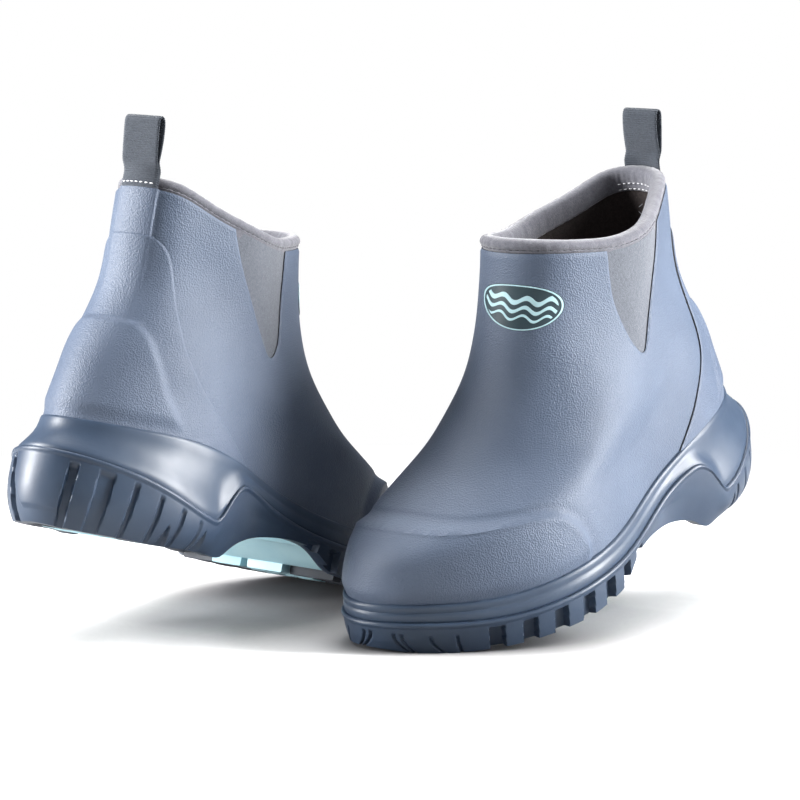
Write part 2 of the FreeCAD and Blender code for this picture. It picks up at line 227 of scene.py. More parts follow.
# ---------------------------------------------------------------- sheets: polygons over (u, z)
class Sheet:
    """A patch of the last's surface: vertices as (u, z), and polygons."""

    def __init__(self, u, z, polys):
        self.u, self.z, self.polys = u, z, polys

    def base(self, offset=0.0):
        return surface(self.u, self.z, offset)

    def split(self, field):
        """Cuts every polygon along field = 0 and returns the two halves' polygons."""
        values = field(self)
        values = np.where(np.abs(values) < 1e-4, 1e-4, values)
        u, z = list(self.u), list(self.z)
        made = {}
        keep, drop = [], []
        positive = values > 0
        for poly in self.polys:
            signs = [positive[i] for i in poly]
            if all(signs):
                keep.append(poly)
                continue
            if not any(signs):
                drop.append(poly)
                continue
            above, under = [], []
            for k, i in enumerate(poly):
                j = poly[(k + 1) % len(poly)]
                (above if positive[i] else under).append(i)
                if positive[i] != positive[j]:
                    key = (min(i, j), max(i, j))
                    if key not in made:
                        t = values[i] / (values[i] - values[j])
                        ui, uj = u[i], u[j]
                        if abs(ui - uj) > 0.5:
                            ui, uj = (ui + 1, uj) if ui < uj else (ui, uj + 1)
                        made[key] = len(u)
                        u.append((ui + (uj - ui) * t) % 1.0)
                        z.append(z[i] + (z[j] - z[i]) * t)
                    above.append(made[key])
                    under.append(made[key])
            keep.append(above)
            drop.append(under)
        self.u, self.z = np.array(u), np.array(z)
        return keep, drop

    def keep(self, field):
        kept, _ = self.split(field)
        return Sheet(self.u, self.z, kept)

    def crease(self, field):
        kept, dropped = self.split(field)
        return Sheet(self.u, self.z, kept + dropped)

    def tidy(self):
        used = sorted({i for p in self.polys for i in p})
        place = {old: new for new, old in enumerate(used)}
        return Sheet(self.u[used], self.z[used], [[place[i] for i in p] for p in self.polys])


def wrap(low, high, columns, rows, offset=0.0):
    """A sheet right round the boot between two heights, its rows evenly spaced along the surface."""
    u = np.arange(columns) / columns
    fine = np.linspace(0, 1, 240)[:, None]
    z = low[None] + (high - low)[None] * fine
    points = surface(u[None], z, offset)
    length = np.vstack([np.zeros(columns),
                        np.cumsum(np.linalg.norm(np.diff(points, axis=0), axis=-1), axis=0)])
    want = np.linspace(0, 1, rows + 1)
    heights = np.stack([np.interp(want * length[-1, i], length[:, i], z[:, i]) for i in range(columns)], 1)
    polys = [[j * columns + i, (j + 1) * columns + i, (j + 1) * columns + (i + 1) % columns,
              j * columns + (i + 1) % columns] for j in range(rows) for i in range(columns)]
    return Sheet(np.tile(u, rows + 1), heights.ravel(), polys)


def side_view(sheet):
    return sheet.base()[:, [0, 2]]


def solid(sheet, outer, inner):
    """Closes a sheet into a thin solid between two offsets. Materials: 0 outside, 1 cut edge, 2 inside."""
    count = len(sheet.u)
    points = np.vstack([surface(sheet.u, sheet.z, outer), surface(sheet.u, sheet.z, inner)])
    faces = [list(p) for p in sheet.polys] + [[i + count for i in reversed(p)] for p in sheet.polys]
    kinds = [0] * len(sheet.polys) + [2] * len(sheet.polys)
    edges = {}
    for p in sheet.polys:
        for i, j in zip(p, p[1:] + p[:1]):
            edges[(i, j)] = edges.get((i, j), 0) + 1
    for i, j in edges:
        if (j, i) not in edges:
            faces.append([j, i, i + count, j + count])
            kinds.append(1)
    return points, faces, kinds


# ---------------------------------------------------------------- the boots' places in the row
def boot_place(side):
    """The boot's ground frame, read from its heel-rest mount and its loop's hinge: rotation and origin."""
    mount = next(m for m in frame["record"]["mounts"] if m["name"] == side + "_heel_rest")
    hinge = next(j for j in frame["joints"] if j["name"] == side + "_loop_swing")
    up = -np.array(mount["axis"], float)
    across = np.array(hinge["axis"], float)
    up /= np.linalg.norm(up)
    across -= up * (across @ up)
    across /= np.linalg.norm(across)
    turn = np.column_stack([np.cross(across, up), across, up])
    mirror = 1.0 if side == "left" else -1.0
    origin = np.array(mount["pos_m"], float) - turn @ (MOUNT_POINT * [1, mirror, 1]) / 1000
    return turn, origin, mirror


PLACES = {side: boot_place(side) for side in ("left", "right")}
TILT = np.array([[math.cos(HEEL_PITCH), 0, math.sin(HEEL_PITCH)], [0, 1, 0],
                 [-math.sin(HEEL_PITCH), 0, math.cos(HEEL_PITCH)]])


def to_row(points, side, on_last=True):
    """Points of the left boot, in millimetres, to metres in the row frame; the right boot is mirrored."""
    turn, origin, mirror = PLACES[side]
    p = np.asarray(points, float)
    if on_last:
        p = p @ TILT.T + [0, 0, LAST_LIFT]
    return (p * [1, mirror, 1]) @ turn.T / 1000 + origin


def piece(name, body, build, materials, replaces=(), on_last=True, sharp=38.0):
    """Makes one mesh for each boot from the same left-boot points, faces and material kinds.

    A piece without a body is left unattached to any body.
    """
    points, faces, kinds = build
    kinds = np.minimum(np.array(kinds, np.int32), len(materials) - 1)
    made = []
    for side in ("left", "right"):
        mesh = bpy.data.meshes.new(side + "_" + name)
        mesh.from_pydata(to_row(points, side, on_last).tolist(), [], faces)
        for material in materials:
            mesh.materials.append(material)
        mesh.polygons.foreach_set("material_index", kinds)
        mesh.polygons.foreach_set("use_smooth", np.ones(len(faces), bool))
        shape = bmesh.new()
        shape.from_mesh(mesh)
        bmesh.ops.remove_doubles(shape, verts=shape.verts, dist=1e-6)
        bmesh.ops.recalc_face_normals(shape, faces=shape.faces)
        shape.to_mesh(mesh)
        shape.free()
        mesh.set_sharp_from_angle(angle=math.radians(sharp))
        obj = bpy.data.objects.new(side + "_" + name, mesh)
        bpy.context.scene.collection.objects.link(obj)
        if body:
            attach(obj, side + "_" + body)
        if replaces:
            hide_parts(*[side + "_" + n for n in replaces])
        made.append(obj)
    return made


# ---------------------------------------------------------------- materials
def new_material(name):
    material = bpy.data.materials.new(name)
    material.use_nodes = True
    tree = material.node_tree
    return material, tree, tree.nodes["Principled BSDF"]


def node(tree, kind, **inputs):
    """A new node, with each keyword set on the input of that name or else on the node itself."""
    made = tree.nodes.new(kind)
    for key, value in inputs.items():
        socket = key.replace("_", " ")
        if socket in made.inputs:
            made.inputs[socket].default_value = value
        else:
            setattr(made, key, value)
    return made


def position(tree):
    return node(tree, "ShaderNodeTexCoord").outputs["Object"]


def noise(tree, where, scale, detail=3.0, roughness=0.55):
    made = node(tree, "ShaderNodeTexNoise", Scale=scale, Detail=detail, Roughness=roughness)
    tree.links.new(where, made.inputs["Vector"])
    return made.outputs["Fac"]


def cells(tree, where, scale):
    made = node(tree, "ShaderNodeTexVoronoi", Scale=scale, feature="SMOOTH_F1")
    made.inputs["Smoothness"].default_value = 0.35
    tree.links.new(where, made.inputs["Vector"])
    return made.outputs["Distance"]


def ramp(tree, fac, stops):
    made = node(tree, "ShaderNodeValToRGB")
    tree.links.new(fac, made.inputs["Fac"])
    band = made.color_ramp
    while len(band.elements) < len(stops):
        band.elements.new(0.5)
    for element, (place, colour) in zip(band.elements, stops):
        element.position = place
        element.color = (*colour, 1)
    return made.outputs["Color"]


def bump(tree, height, strength, distance, previous=None):
    made = node(tree, "ShaderNodeBump", Strength=strength, Distance=distance)
    tree.links.new(height, made.inputs["Height"])
    if previous is not None:
        tree.links.new(previous, made.inputs["Normal"])
    return made.outputs["Normal"]


def add(tree, a, b, scale_b):
    """a + b * scale_b"""
    made = node(tree, "ShaderNodeMath", operation="MULTIPLY_ADD")
    tree.links.new(b, made.inputs[0])
    made.inputs[1].default_value = scale_b
    tree.links.new(a, made.inputs[2])
    return made.outputs[0]


def remap(tree, value, low, high):
    """A value from 0 to 1, stretched to run from low to high."""
    made = node(tree, "ShaderNodeMapRange")
    tree.links.new(value, made.inputs["Value"])
    made.inputs["To Min"].default_value = low
    made.inputs["To Max"].default_value = high
    return made.outputs["Result"]


def pebbled_rubber(name, dark, light):
    """Rubber skin with a fine pebble grain, its colour drifting a little over the panel."""
    material, tree, shader = new_material(name)
    where = position(tree)
    drift = noise(tree, where, 14, 4)
    speckle = noise(tree, where, 900, 2)
    colour = add(tree, drift, speckle, 0.25)
    tree.links.new(ramp(tree, colour, [(0.42, dark), (0.82, light)]), shader.inputs["Base Color"])
    pebbles = cells(tree, where, 1250)
    grain = noise(tree, where, 2300, 4, 0.6)
    height = add(tree, pebbles, grain, 0.45)
    coarse = noise(tree, where, 240, 2)
    normal = bump(tree, coarse, 0.07, 0.0010)
    tree.links.new(bump(tree, height, 0.50, 0.0005, normal), shader.inputs["Normal"])
    tree.links.new(remap(tree, speckle, 0.40, 0.56), shader.inputs["Roughness"])
    shader.inputs["Specular IOR Level"].default_value = 0.3
    shader.inputs["Sheen Weight"].default_value = 0.03
    shader.inputs["Sheen Roughness"].default_value = 0.4
    return material


def smooth_rubber(name, dark, light, roughness=0.44):
    """Moulded rubber: satin, with faint mottling and a dusty bloom."""
    material, tree, shader = new_material(name)
    where = position(tree)
    cloud = noise(tree, where, 32, 5)
    tree.links.new(ramp(tree, cloud, [(0.3, dark), (0.75, light)]), shader.inputs["Base Color"])
    fine = noise(tree, where, 1300, 3)
    tree.links.new(bump(tree, fine, 0.10, 0.0004, bump(tree, cloud, 0.06, 0.002)), shader.inputs["Normal"])
    tree.links.new(remap(tree, noise(tree, where, 70, 3), roughness - 0.07, roughness + 0.1),
                   shader.inputs["Roughness"])
    shader.inputs["Specular IOR Level"].default_value = 0.45
    return material


def jersey(name, dark, light, scale, sheen=0.35):
    """Stretch jersey over neoprene: a tight knit with soft fuzz."""
    material, tree, shader = new_material(name)
    where = position(tree)
    knit = node(tree, "ShaderNodeTexVoronoi", Scale=scale)
    tree.links.new(where, knit.inputs["Vector"])
    fuzz = noise(tree, where, scale * 0.4, 4, 0.7)
    tone = add(tree, fuzz, knit.outputs["Distance"], 0.4)
    tree.links.new(ramp(tree, tone, [(0.35, dark), (0.95, light)]), shader.inputs["Base Color"])
    tree.links.new(bump(tree, tone, 0.5, 0.0005, bump(tree, noise(tree, where, 90, 2), 0.1, 0.001)),
                   shader.inputs["Normal"])
    shader.inputs["Roughness"].default_value = 0.9
    shader.inputs["Sheen Weight"].default_value = sheen
    shader.inputs["Sheen Roughness"].default_value = 0.5
    shader.inputs["Specular IOR Level"].default_value = 0.2
    return material


upper_rubber = pebbled_rubber("upper_rubber", (0.060, 0.081, 0.124), (0.088, 0.114, 0.165))
overlay_rubber = pebbled_rubber("overlay_rubber", (0.062, 0.083, 0.127), (0.090, 0.116, 0.168))
cut_edge = smooth_rubber("cut_edge", (0.006, 0.007, 0.010), (0.012, 0.013, 0.018), 0.7)
rand_rubber = smooth_rubber("rand_rubber", (0.025, 0.042, 0.074), (0.041, 0.063, 0.102), 0.40)
outsole_rubber = smooth_rubber("outsole_rubber", (0.021, 0.036, 0.066), (0.036, 0.057, 0.094), 0.40)
tread_rubber = smooth_rubber("tread_rubber", (0.020, 0.026, 0.038), (0.036, 0.045, 0.062), 0.55)
core_rubber = smooth_rubber("core_rubber", (0.46, 0.74, 0.84), (0.60, 0.86, 0.92), 0.5)
gusset_cloth = jersey("gusset_cloth", (0.062, 0.070, 0.088), (0.120, 0.130, 0.152), 1700)
binding_cloth = jersey("binding_cloth", (0.078, 0.079, 0.096), (0.135, 0.136, 0.158), 1500, 0.4)
lining_cloth = jersey("lining_cloth", (0.012, 0.009, 0.009), (0.034, 0.026, 0.025), 1300, 0.15)
web_cloth = jersey("web_cloth", (0.022, 0.027, 0.036), (0.056, 0.065, 0.081), 2400, 0.2)
footbed_cloth = jersey("footbed_cloth", (0.018, 0.017, 0.018), (0.045, 0.043, 0.045), 900, 0.1)
thread_pale = jersey("thread_pale", (0.55, 0.55, 0.58), (0.80, 0.80, 0.82), 3000, 0.2)
thread_grey = jersey("thread_grey", (0.20, 0.20, 0.22), (0.36, 0.36, 0.38), 3000, 0.2)
thread_dark = jersey("thread_dark", (0.030, 0.030, 0.036), (0.065, 0.065, 0.075), 3000, 0.2)
badge_dark = smooth_rubber("badge_dark", (0.018, 0.036, 0.046), (0.030, 0.054, 0.066), 0.42)
badge_pale = smooth_rubber("badge_pale", (0.36, 0.55, 0.60), (0.46, 0.66, 0.70), 0.42)
board = smooth_rubber("board", (0.30, 0.26, 0.20), (0.42, 0.37, 0.30), 0.8)
foam = smooth_rubber("foam", (0.16, 0.17, 0.19), (0.24, 0.25, 0.28), 0.8)
steel = smooth_rubber("steel", (0.45, 0.45, 0.46), (0.60, 0.60, 0.62), 0.35)


# ---------------------------------------------------------------- upper
COLUMNS = 320
all_u = np.arange(COLUMNS) / COLUMNS
foxing_at = solve_height(foxing_z, all_u)
collar_at = solve_height(collar_z, all_u)


def emboss(sheet):
    """How far the skin stands proud over the pieces under it: heel counter, back strip and toe puff."""
    p = sheet.base()
    x, y, z = p.T
    rise = COUNTER_RISE * smoothstep(-1.0, 2.6, signed_distance(p[:, [0, 2]], counter_outline))
    rise = rise * smoothstep(0.5, 9.0, z - foxing_z(x))
    spine = (1 - smoothstep(10.4, 12.4, np.abs(y))) * (x < 60)
    rise = rise + SPINE_RISE * spine * smoothstep(104, 128, z)
    cap_edge = CAP_EDGE_X - CAP_EDGE_SWEEP * (np.abs(y + 5) / CAP_HALF) ** 2.7
    ahead = np.where(z < 100, x - cap_edge, -60.0)
    rise = rise + CAP_RISE * smoothstep(-1.4, 2.4, ahead) * smoothstep(-2.0, 7.0, z - foxing_z(x))
    rise = rise + 0.5 * np.exp(-((ahead - 1.8) / 1.6) ** 2) * (x > 120)
    rise = rise - 0.5 * np.exp(-((ahead + 3.0) / 3.0) ** 2) * (x > 120)
    return rise


def build_upper():
    sheet = wrap(foxing_at - 6, collar_at, COLUMNS, 130)
    window = lambda s: signed_distance(side_view(s), gusset_outline)
    sheet = sheet.crease(lambda s: -1.0 - window(s))
    sheet = sheet.keep(lambda s: -window(s)).tidy()
    gap = -window(sheet)
    top = solve_height(collar_z, sheet.u) - sheet.z
    edge = np.minimum(gap, top)
    outer = emboss(sheet) - CUT_ROUND * (1 - smoothstep(0, 1.0, edge))
    piece("upper_shell", "boot", solid(sheet, outer, -SKIN),
          [upper_rubber, cut_edge, cut_edge], ["upper_shell"])


def build_gussets():
    base = wrap(np.full(COLUMNS, 100.0), collar_at, COLUMNS, 70)
    window = lambda s: signed_distance(side_view(s), gusset_outline) + 2.0
    sheet = base.keep(window)
    for name, sign in (("lateral_gusset", 1), ("medial_gusset", -1)):
        half = Sheet(sheet.u, sheet.z, [p for p in sheet.polys if (sheet.u[p[0]] < 0.5) == (sign > 0)]).tidy()
        deep = signed_distance(side_view(half), gusset_outline)
        swell = -1.35 + 0.45 * smoothstep(0, 12, deep)
        piece(name, "boot", solid(half, swell, -2.6), [gusset_cloth], [name])


def build_overlay():
    base = wrap(foxing_at - 6, collar_at, COLUMNS, 150)
    over = lambda s: signed_distance(side_view(s), overlay_outline)
    sheet = base.keep(lambda s: over(s) + 4).crease(lambda s: over(s) - 0.9).keep(over).tidy()
    rise = emboss(sheet)
    outer = rise + OVERLAY - 0.55 * (1 - smoothstep(0, 0.9, over(sheet)))
    piece("heel_overlay", "boot", solid(sheet, outer, rise - 0.3), [overlay_rubber, cut_edge, cut_edge],
          ["heel_overlay"])

    fine = wrap(np.full(900, 145.0), np.interp(np.arange(900) / 900, all_u, collar_at, period=1.0), 900, 30)
    strip = lambda s: np.where(s.base()[:, 0] < 60, WEB_WIDTH / 2 + 0.8 - np.abs(s.base()[:, 1]), -5)
    centre = Sheet(fine.u, fine.z, [p for p in fine.polys if min(fine.u[p[0]], 1 - fine.u[p[0]]) < 0.12])
    centre = centre.crease(lambda s: strip(s) - 0.8).keep(strip).keep(lambda s: 0.4 - over(s)).tidy()
    edge = strip(centre)
    rise = emboss(centre)
    piece("back_strip", "boot", solid(centre, rise + 0.75 - 0.5 * (1 - smoothstep(0, 0.8, edge)), rise - 0.4),
          [overlay_rubber, cut_edge, cut_edge], ["back_strip"])


def build_badge():
    """A generic oval badge: a dark field, a pale rim and three waves."""
    middle = np.array([11.0, 152.6])     # along the skin from its front line, and up
    half = np.array([25.0, 10.4])
    tilt = math.radians(11)
    wave_length = 13.0
    ring_u = np.linspace(0.36, 0.64, 400)
    ring = surface(ring_u, np.full_like(ring_u, middle[1]), 0.0)
    ring_s = np.concatenate([[0], np.cumsum(np.linalg.norm(np.diff(ring, axis=0), axis=1))])
    ring_s = np.interp(0.5, ring_u, ring_s) - ring_s
    columns = 900
    patch = wrap(np.full(columns, 139.0), np.full(columns, 167.0), columns, 70)
    patch = Sheet(patch.u, patch.z, [p for p in patch.polys if abs(patch.u[p[0]] - 0.5) < 0.13])

    def flat_place(s):
        across = np.interp(s.u, ring_u, ring_s) - middle[0]
        rise = s.z - middle[1]
        return np.stack([across * math.cos(tilt) - rise * math.sin(tilt),
                         across * math.sin(tilt) + rise * math.cos(tilt)], 1)

    def oval(s, scale):
        q = flat_place(s) / (half * scale)
        return (1 - np.hypot(q[:, 0], q[:, 1])) * 10

    def waves(s):
        q = flat_place(s)
        nearest = np.full(len(q), -9.0)
        for level, width in ((-4.6, 0.55), (-0.9, 0.8), (3.3, 1.1)):
            crest = level + 1.3 * np.sin(q[:, 0] * 2 * np.pi / wave_length)
            nearest = np.maximum(nearest, width - np.abs(q[:, 1] - crest))
        return nearest

    field = patch.keep(lambda s: oval(s, 1.0)).tidy()
    piece("emblem", "boot", solid(field, 0.22, -0.3), [badge_dark], ["emblem"])
    rim = patch.keep(lambda s: oval(s, 0.975)).keep(lambda s: -oval(s, 0.93)).tidy()
    piece("emblem_rim", "boot", solid(rim, 0.42, 0.0), [badge_pale])
    crests = patch.keep(lambda s: oval(s, 0.86)).keep(waves).tidy()
    piece("emblem_waves", "boot", solid(crests, 0.42, 0.0), [badge_pale])


def build_lining():
    low = np.full(COLUMNS, 30.0)
    for _ in range(30):
        low = floor_z(surface(all_u, low, -LINING_INNER)[:, 0]) + 5.0
    sheet = wrap(low, collar_at - 4.0, COLUMNS, 90, -LINING_INNER)
    fold = 0.35 * np.sin(sheet.u * 2 * np.pi * 9 + sheet.z * 0.11) * smoothstep(60, 120, sheet.z)
    piece("lining", "boot", solid(sheet, -2.3, fold - LINING_INNER), [lining_cloth],
          ["lining"])


# ---------------------------------------------------------------- collar, loop and stitching
def ring_mesh(rows):
    """A closed band from a list of closed rows of points, closed across its profile too."""
    grid = np.stack(rows)
    count, columns = grid.shape[:2]
    faces = [[j * columns + i, j * columns + (i + 1) % columns,
              ((j + 1) % count) * columns + (i + 1) % columns, ((j + 1) % count) * columns + i]
             for j in range(count) for i in range(columns)]
    return grid.reshape(-1, 3), faces, [0] * len(faces)


def collar_point(u, out, up):
    """A point near the collar line: out from the skin and up from its top edge."""
    z = solve_height(collar_z, u)
    level = surface(u, z, 0.0) + outward(u, z) * np.asarray(out)[..., None]
    return level + np.array([0, 0, 1.0]) * np.asarray(up)[..., None]


def build_binding():
    u = np.arange(420) / 420
    profile = [(-1.9, -5.0), (-1.35, -1.2), (-1.2, 0.3), (-0.75, 1.2), (-1.15, 1.75), (-0.55, 2.6),
               (-0.4, 3.7), (-0.8, 4.9), (-1.7, 5.9), (-3.1, 6.5), (-4.8, 6.6), (-6.5, 6.2), (-7.8, 5.2),
               (-8.5, 3.7), (-8.8, 1.8), (-8.85, -0.6), (-8.7, -1.6), (-8.8, -3.6), (-8.6, -5.2),
               (-8.2, -5.9), (-7.4, -5.9), (-6.6, -5.0), (-6.4, -3.0), (-6.0, 1.0), (-4.0, 2.5), (-2.6, 0.5)]
    ripple = 0.07 * np.sin(u * 2 * np.pi * 37) + 0.05 * np.sin(u * 2 * np.pi * 61 + 1.3)
    rows = []
    for k, (out, up) in enumerate(profile):
        puff = ripple * (1 if 1 <= k <= 16 else 0.3)
        rows.append(collar_point(u, out + puff, up + 0.4 * ripple))
    piece("collar_binding", "boot", ring_mesh(rows), [binding_cloth], ["collar_binding"],
          sharp=60)


def capsules(starts, ends, normals, radius):
    """Short rounded stitches from starts to ends, lying flat on a surface with those normals."""
    points, faces = [], []
    for a, b, normal in zip(starts, ends, normals):
        along = (b - a) / np.linalg.norm(b - a)
        normal = normal - along * (normal @ along)
        normal = normal / np.linalg.norm(normal)
        across = np.cross(along, normal)
        first = len(points)
        rings = [(0.0, 0.35), (0.18, 0.85), (0.5, 1.0), (0.82, 0.85), (1.0, 0.35)]
        for t, size in rings:
            sink = -0.6 * radius * (2 * t - 1) ** 2
            for k in range(6):
                angle = k * math.pi / 3
                points.append(a + (b - a) * t
                              + (across * math.cos(angle) + normal * math.sin(angle)) * radius * size
                              + normal * sink)
        for r in range(len(rings) - 1):
            for k in range(6):
                i, j = first + r * 6 + k, first + r * 6 + (k + 1) % 6
                faces.append([i, j, j + 6, i + 6])
        faces.append([first + k for k in range(5, -1, -1)])
        faces.append([first + 24 + k for k in range(6)])
    return np.array(points), faces, [0] * len(faces)


def stitch_line(path, normals, length, gap, radius):
    """Stitches of one length with gaps, along a densely sampled path."""
    steps = np.linalg.norm(np.diff(path, axis=0), axis=1)
    place = np.concatenate([[0], np.cumsum(steps)])
    starts = np.arange(0.3, place[-1] - length, length + gap)
    pick = lambda s, values: np.stack([np.interp(s, place, values[:, k]) for k in range(3)], 1)
    return capsules(pick(starts, path), pick(starts + length, path), pick(starts, normals), radius)


def join(builds):
    points, faces, kinds = [], [], []
    count = 0
    for p, f, k in builds:
        points.append(p)
        faces += [[i + count for i in face] for face in f]
        kinds += k
        count += len(p)
    return np.vstack(points), faces, kinds


def build_stitching():
    u = np.linspace(0.0, 1.0, 2400)
    normal = outward(u % 1.0, solve_height(collar_z, u % 1.0))
    seam = collar_point(u % 1.0, -0.95, 1.75)
    piece("binding_seam", "boot", stitch_line(seam, normal, 2.3, 1.3, 0.24), [thread_dark])

    back = np.linspace(-0.062, 0.062, 400) % 1.0
    inward = -outward(back, solve_height(collar_z, back))
    rows = [stitch_line(collar_point(back, -9.0, level), inward, 1.7, 1.1, 0.3) for level in (-1.4, -4.6)]
    piece("loop_stitches_inside", "boot", join(rows), [thread_pale])

    tab = np.linspace(-WEB_WIDTH / 2 + 1, WEB_WIDTH / 2 - 1, 60)
    line = np.stack([tab_x(tab) - 0.15, tab, np.full_like(tab, 174.3)], 1)
    away = np.tile([-1.0, 0.0, 0.0], (60, 1))
    piece("loop_stitches_outside", "boot", stitch_line(line, away, 1.9, 1.0, 0.36), [thread_pale])

    heights = np.arange(160.0, 92.0, -4.4)
    ends = []
    for k, z in enumerate(heights):
        x = back_x(z) + LINING_INNER + 0.15
        ends.append([x, -3.0 if k % 2 else 3.0, z])
    ends = np.array(ends, float)
    piece("back_seam_zigzag", "boot",
          capsules(ends[:-1], ends[1:], np.tile([1.0, 0, 0], (len(ends) - 1, 1)), 0.33),
          [thread_grey])


def tab_x(y):
    """Where the webbing's outer sewn end lies on the collar's back, bowed with it."""
    return 13.5 + y ** 2 / COLLAR_BOW


def build_loop():
    """One strip of ribbed webbing: a sewn end, the loop, and the other sewn end on the binding's back."""
    lean = np.array([-math.sin(LOOP_LEAN), math.cos(LOOP_LEAN)])
    ahead = np.array([math.cos(LOOP_LEAN), math.sin(LOOP_LEAN)])
    pivot = LOOP_PIVOT[[0, 2]]
    ring = [(3, -7.0), (8, -6.5), (14, -5.6), (20, -4.6), (23.8, -3.7), (25.3, -2.0), (24.8, -0.2), (22, 0.5),
            (17, -0.3), (12, -1.7), (7, -3.5), (3, -5.2)]
    loop = [pivot + lean * s + ahead * h for s, h in ring]
    route = [(14.2, 171.9), (14.1, 175.0), (13.8, 179.0), (13.2, 182.0)] + [tuple(p) for p in loop]
    route += [(14.7, 182.0), (15.05, 179.0), (15.3, 175.5), (15.4, 172.2)]
    path = polyline(route, 40)
    length = np.concatenate([[0], np.cumsum(np.linalg.norm(np.diff(path, axis=0), axis=1))])
    along = np.arange(0, length[-1], 0.19)
    path = np.stack([np.interp(along, length, path[:, k]) for k in range(2)], 1)
    tangent = np.gradient(path, axis=0)
    tangent /= np.linalg.norm(tangent, axis=1)[:, None]
    normal = np.stack([-tangent[:, 1], tangent[:, 0]], 1)
    rib = 0.15 * np.sin(along * 2 * np.pi / RIB_PITCH)
    across = np.linspace(-1, 1, 23)
    edge = np.sqrt(np.clip(1 - np.abs(across) ** 14, 0, 1))
    sewn = 1 - smoothstep(180, 186, path[:, 1])
    grid = []
    thick = (WEB_HALF + 0.9 * rib[:, None]) * (0.25 + 0.75 * edge[None])
    for sign in (1, -1):
        y = across[None] * (WEB_WIDTH / 2 - 0.05 + 0.12 * np.sin(along * 2 * np.pi / RIB_PITCH))[:, None]
        bow = sewn[:, None] * y ** 2 / COLLAR_BOW
        x = path[:, :1] + normal[:, :1] * sign * thick + bow
        z = path[:, 1:] + normal[:, 1:] * sign * thick
        grid.append(np.stack([x, y, z], -1))
    rows, columns = grid[0].shape[:2]
    front = np.arange(rows * columns).reshape(rows, columns)
    back = front + rows * columns
    faces = []
    for j in range(rows - 1):
        for i in range(columns - 1):
            faces.append([front[j, i], front[j, i + 1], front[j + 1, i + 1], front[j + 1, i]])
            faces.append([back[j, i], back[j + 1, i], back[j + 1, i + 1], back[j, i + 1]])
        faces.append([front[j, 0], front[j + 1, 0], back[j + 1, 0], back[j, 0]])
        faces.append([front[j, -1], back[j, -1], back[j + 1, -1], front[j + 1, -1]])
    for j, flip in ((0, 1), (rows - 1, -1)):
        for i in range(columns - 1):
            faces.append([front[j, i], back[j, i], back[j, i + 1], front[j, i + 1]][::flip])
    points = np.vstack([g.reshape(-1, 3) for g in grid])
    faces = [[int(i) for i in f] for f in faces]
    made = piece("pull_loop_web", None, (points, faces, [0] * len(faces)), [web_cloth],
                 ["pull_loop", "loop_anchor"], sharp=70)
    for obj, side in zip(made, ("left", "right")):
        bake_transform(obj)


# ---------------------------------------------------------------- sole
SOLE_COLUMNS = 1300
EDGE_LIFT = 3.0        # the edge lugs next to the arch stop this far above the ground
LUG_PITCH = 17.3       # along the edge
LUG_GAP = 3.4          # half width of the gap between two edge lugs
LAST_GAP = 282.6       # arc length from the heel to the gap nearest the toe
LUG_GAPS = 7
LUG_DEPTH = 3.9        # cut of those gaps into the wall
TREAD_LUG = 5.6        # height of the ground lugs
# arc length from the heel, half width, depth and slant of each groove in the heel's wall
HEEL_GROOVES = [(14.0, 1.7, 2.8, 0.05), (28.8, 3.4, 1.8, 0.05), (43.5, 0.9, 1.6, 0.05),
                (57.0, 0.8, 1.4, 0.04), (70.0, 0.8, 1.4, 0.03), (81.5, 0.6, 1.0, 0.02)]
# arc length and bend of each crescent at the toe
TOE_CRESCENTS = [(346.0, 5.0), (331.0, -6.0), (314.0, -6.0), (301.5, -1.0)]


def sole_columns():
    """Columns evenly spaced round the sole: their u, their distance from the heel, and the whole way."""
    fine = np.linspace(0, 1, 6001)
    foot = surface(fine, 30.0, 0.0)
    length = np.concatenate([[0], np.cumsum(np.linalg.norm(np.diff(foot, axis=0), axis=1))])
    want = np.arange(SOLE_COLUMNS) / SOLE_COLUMNS * length[-1]
    return np.interp(want, length, fine), want, length[-1]


sole_u, sole_s, sole_length = sole_columns()
sole_foot = surface(sole_u, 30.0, 0.0)
sole_side = outward(sole_u, 30.0)
sole_x = sole_foot[:, 0]
forward = smoothstep(56, 118, sole_x)
lateral = sole_foot[:, 1] > 0
from_heel = np.minimum(sole_s, sole_length - sole_s)
arc = np.where(sole_s < sole_length / 2, sole_s, sole_s - sole_length)
split_z = ground_height(sole_x, rand_foot(sole_x + GROUND_SHIFT))
edge_lift = EDGE_LIFT * (1 - smoothstep(176, 208, sole_x)) * smoothstep(140, 166, sole_x)
bottom_z = ground_height(sole_x, bottom_line(sole_x + GROUND_SHIFT) + edge_lift)


def sole_row(out, z):
    """One level row of the sole's wall: out from the last's section at height z, held below the foot."""
    shape = surface(sole_u, np.maximum(z, 30.0), 0.0)
    row = shape + sole_side * np.asarray(out)[..., None]
    row[:, 2] = z
    return row


def blend_rows(heel, toe):
    return [(h[0] + (t[0] - h[0]) * forward, h[1] + (t[1] - h[1]) * forward) for h, t in zip(heel, toe)]


